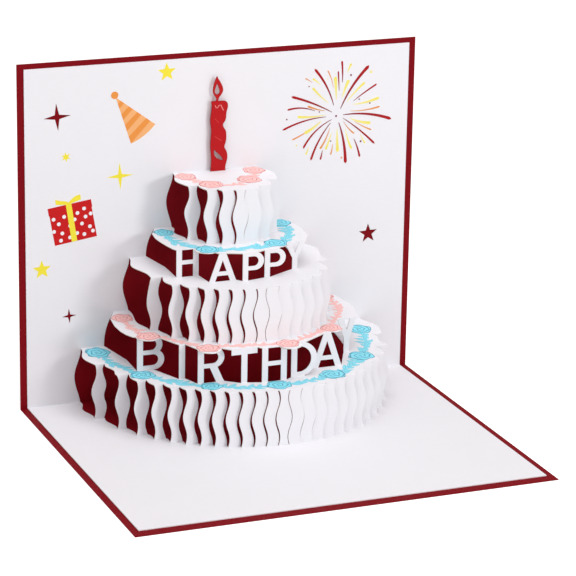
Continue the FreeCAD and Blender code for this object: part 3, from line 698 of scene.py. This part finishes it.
# %% Places of the sparks
MIDDLE = np.array([53.2, 117.5])
RED = [
    (-1.2, 4.8, -10.5, 21.6, -1.1, 1.00), (2.6, 14.6, 2.2, 24.3, -0.2, 0.80),
    (1.2, 11.1, 0.6, 19.9, 0.0, 0.60), (2.0, 3.1, 15.1, 21.4, 1.2, 1.30),
    (8.0, 6.1, 18.9, 12.9, 0.2, 0.70), (3.3, 0.3, 26.3, -3.3, 1.3, 1.20),
    (3.2, -1.1, 18.6, -13.8, 0.5, 0.80), (8.6, -10.7, 11.6, -19.2, 0.3, 0.80),
    (1.3, -2.9, 4.9, -21.6, 0.8, 1.30), (-6.1, -14.8, -7.0, -18.9, 0.1, 0.70),
    (-2.5, -2.8, -11.5, -19.0, -1.0, 0.90), (-2.0, -1.4, -15.2, -13.4, -1.6, 0.80),
    (-4.7, 0.0, -25.0, -4.5, -1.1, 0.80), (-9.9, 3.0, -22.9, 4.3, -1.1, 0.70),
    (-2.0, 1.9, -21.1, 10.1, -0.6, 1.00),
]
YELLOW = [
    (-3.6, 6.0, -11.3, 13.4, 0.3, 0.90), (-7.6, 14.3, -11.3, 17.3, -0.2, 0.70),
    (0.0, 7.3, -0.7, 17.5, 0.0, 1.30), (4.9, 18.8, 6.7, 22.8, 0.1, 0.90),
    (2.8, 8.0, 5.7, 15.6, 0.3, 1.20), (4.9, 5.9, 13.3, 14.1, 0.3, 0.90),
    (8.0, 4.6, 20.2, 6.8, -0.5, 1.10), (6.5, -1.4, 16.5, -4.3, -0.5, 1.20),
    (11.5, -8.9, 14.1, -13.3, -0.1, 0.60), (4.6, -6.1, 7.7, -15.3, -0.4, 0.90),
    (0.6, -5.8, 1.1, -16.1, -0.1, 1.30), (-2.0, -7.1, -4.7, -14.7, 0.2, 0.90),
    (-6.8, -1.7, -14.7, -6.6, 0.3, 1.30), (-5.2, 0.9, -18.1, 1.0, 0.5, 1.00),
    (-12.6, -12.8, -13.9, -16.2, 0.1, 0.70),
]
ORANGE = [
    (-1.5, 12.4, -4.4, 20.5, -0.4, 0.50), (-11.3, 15.6, -14.8, 17.7, -0.1, 0.45),
    (-5.2, 2.7, -13.4, 5.4, 0.3, 0.80), (6.5, 1.8, 20.7, 2.8, -0.6, 0.70),
    (8.6, -2.9, 16.9, -7.4, -0.3, 0.60), (3.5, -2.6, 8.8, -8.5, -0.4, 0.60),
    (-1.4, -12.2, -2.2, -17.1, 0.2, 0.60), (-2.8, -5.0, -7.3, -14.2, 0.5, 0.80),
    (-7.8, -2.1, -20.5, -9.1, 0.6, 0.60),
]
# Sparks fallen loose, as x, z, radius and ink
LOOSE = [
    (-4.4, 16.8, 0.25, 1), (16.0, 18.5, 0.60, 1), (-18.3, -11.7, 0.40, 1), (3.0, -18.8, 0.45, 2),
    (0.0, 0.0, 0.45, 3), (6.6, 17.7, 0.45, 3), (10.7, 6.7, 0.35, 3), (15.8, 4.6, 0.35, 3),
    (11.9, -12.2, 0.45, 3), (-2.3, -11.0, 0.30, 3), (-7.9, 2.4, 0.30, 3), (-12.9, 14.0, 0.30, 3),
    (-23.0, 0.2, 0.35, 3),
]
print(len(RED), "red,", len(YELLOW), "yellow and", len(ORANGE), "orange sparks,", len(LOOSE), "loose ones")

# %% Firework
SPARK_HIGH = 0.05
SPARK_STEP = 0.01
LOOSE_HIGH = 0.04
FULLNESS = 0.57
HAIR_SHARE = 0.14
THINNEST = 0.02


def spark(prints, row, ink_number):
    """A spark: the chord from start to end plus the bow times 4 t (1 - t) to its left. The half
    width grows with the way and closes in a half round at the far end. Each ink has its own height,
    so sparks of two inks never share a plane."""
    x0, z0, x1, z1, bow, width = row
    t = np.linspace(0, 1, 22)[:, None]
    start, chord = np.array([x0, z0]), np.array([x1 - x0, z1 - z0])
    long = np.linalg.norm(chord)
    aside = np.array([-chord[1], chord[0]]) / long
    path = MIDDLE + start + chord * t + aside * bow * 4 * t * (1 - t)
    left = np.clip((1 - t[:, 0]) * long / (width / 2), 0, 1)
    swelling = HAIR_SHARE + (1 - HAIR_SHARE) * t[:, 0] ** 0.7
    half = FULLNESS * width * swelling * np.sqrt(1 - (1 - left) ** 2) + THINNEST
    prints.band(path, half, SPARK_HIGH - SPARK_STEP * ink_number, ink_number)


firework = Prints()
for number, rows in enumerate((RED, YELLOW, ORANGE)):
    for row in rows:
        spark(firework, row, number)
for x, z, radius, number in LOOSE:
    firework.round(MIDDLE + (x, z), radius, LOOSE_HIGH, number, around=16, rings=1)
firework.make("printed_firework", on_panel, [spark_red, spark_yellow, spark_orange, dot_dark])

# %% [markdown]
# The candle has a few light scores in its wax: a small drip and a short line under the flame, and two
# slanting lines that follow the twist. They are narrow bands in a paler red.

# %% Scores on the candle
SCORE_HIGH = 0.03
DRIP = [(-3.5, 127.0), (-3.1, 126.0), (-2.4, 125.9), (-1.9, 126.7), (-1.2, 127.0)]
score = ink("candle_score_ink", srgb(232, 150, 150))
faint = ink("candle_faint_ink", srgb(214, 74, 76))
scores = Prints()
scores.band(through(DRIP, 5), 0.14, SCORE_HIGH, 0)
scores.band(through([(-0.9, 127.0), (-0.5, 126.0), (0.0, 125.1), (0.25, 124.5)], 5), 0.17, SCORE_HIGH, 0)
scores.band(through([(-3.6, 121.2), (-2.6, 120.2), (-1.8, 119.3)], 5), 0.11, SCORE_HIGH, 1)
scores.band(through([(-3.6, 113.4), (-2.1, 112.4), (-0.5, 111.4)], 5), 0.13, SCORE_HIGH, 1)
wax_scores = scores.make("candle_scores", on_candle, [score, faint])

# %% [markdown]
# The card is photographed on white. A small lamp, low and a little right of the front, throws a narrow
# shadow to the left of every tier. A broad lamp almost overhead brightens the levels and the base, and
# the room around fills the rest with a slightly warm light. The camera alone sees the room as pure
# white. The powers were found by rendering each light alone, since light simply adds up.

# %% Light
CAKE_MIDDLE = (0.0, 0.02, 0.06)


def lamp(name, azimuth, elevation, distance, size, watts, color):
    """A square lamp that looks at the cake, placed by its angle right of the front and its height."""
    a, e = math.radians(azimuth), math.radians(elevation)
    aim = Vector(CAKE_MIDDLE)
    toward = Vector((math.sin(a) * math.cos(e), -math.cos(a) * math.cos(e), math.sin(e)))
    data = bpy.data.lights.new(name, "AREA")
    data.size = size
    data.energy = watts
    data.color = color
    made = bpy.data.objects.new(name, data)
    made.location = aim + toward * distance
    made.rotation_euler = toward.to_track_quat("Z", "Y").to_euler()
    bpy.context.scene.collection.objects.link(made)
    return made


lamp("key_lamp", azimuth=29, elevation=14, distance=1.3, size=0.26, watts=4.5, color=(0.975, 0.98, 0.975))
lamp("top_lamp", azimuth=10, elevation=74, distance=1.5, size=1.5, watts=15.8, color=(0.985, 0.985, 0.985))

world = bpy.data.worlds.new("white_room")
world.use_nodes = True
bpy.context.scene.world = world
tree = world.node_tree
tree.nodes.clear()
rays = node(tree, "ShaderNodeLightPath")
seen = math_node(tree, "MAXIMUM", rays["Is Camera Ray"], rays["Is Transmission Ray"])
room = node(tree, "ShaderNodeBackground", Color=(1.0, 0.93, 0.90, 1.0), Strength=0.47)["Background"]
bright = node(tree, "ShaderNodeBackground", Color=(1.0, 1.0, 1.0, 1.0), Strength=1.0)["Background"]
mix = node(tree, "ShaderNodeMixShader", n0=seen, n1=room, n2=bright)["Shader"]
node(tree, "ShaderNodeOutputWorld", Surface=mix)
print("room and lamps ready")

# %% Floor
FLOOR_HALF = 4.0
FLOOR_TOP = -5e-5
CORNERS = ((-1, -1), (1, -1), (1, 1), (-1, 1))
floor_mesh = bpy.data.meshes.new("floor")
floor_mesh.from_pydata([(x * FLOOR_HALF, y * FLOOR_HALF, FLOOR_TOP) for x, y in CORNERS], [], [(0, 1, 2, 3)])
floor = bpy.data.objects.new("floor", floor_mesh)
bpy.context.scene.collection.objects.link(floor)
floor_paint, tree, shader = blank("pale_floor")
shader.inputs["Base Color"].default_value = (0.9, 0.9, 0.9, 1.0)
shader.inputs["Roughness"].default_value = 0.9
shader.inputs["Specular IOR Level"].default_value = 0.0
shader.inputs["Emission Color"].default_value = (1.0, 1.0, 1.0, 1.0)
rays = node(tree, "ShaderNodeLightPath")
glow = math_node(tree, "MULTIPLY", rays["Is Camera Ray"], 0.5)
tree.links.new(glow, shader.inputs["Emission Strength"])
floor_mesh.materials.append(floor_paint)
print("floor", 2 * FLOOR_HALF, "m wide")

# %% [markdown]
# The camera stands low, left of the middle, and far off with a long lens, because the edges of the card
# in the photograph hardly draw together. Its place and its small roll were worked out from the corners
# of the two panels.

# %% Camera
PICTURE_WIDTH = 576.0
FOCAL_PIXELS = 2791.0
PLACE = (-0.4096, -1.00535, 0.4074)
AZIMUTH, ELEVATION, ROLL = (math.radians(angle) for angle in (22.247, 17.372, 1.018))
forward = Vector((math.sin(AZIMUTH) * math.cos(ELEVATION), math.cos(AZIMUTH) * math.cos(ELEVATION),
                  -math.sin(ELEVATION)))
right = Vector((math.cos(AZIMUTH), -math.sin(AZIMUTH), 0.0))
up = right.cross(forward)
right, up = math.cos(ROLL) * right + math.sin(ROLL) * up, math.cos(ROLL) * up - math.sin(ROLL) * right
lens = bpy.data.cameras.new("camera")
lens.sensor_width = 36.0
lens.lens = FOCAL_PIXELS * lens.sensor_width / PICTURE_WIDTH
lens.clip_start = 0.05
lens.clip_end = 50.0
camera = bpy.data.objects.new("camera", lens)
turned = Matrix((right, up, -forward)).transposed().to_4x4()
camera.matrix_world = Matrix.Translation(PLACE) @ turned
bpy.context.scene.collection.objects.link(camera)
bpy.context.scene.camera = camera
bpy.context.scene.view_settings.view_transform = "Standard"
print("camera at", [round(v, 3) for v in camera.location], "lens", round(lens.lens, 1), "mm")

# %% Finish
bpy.context.view_layer.update()
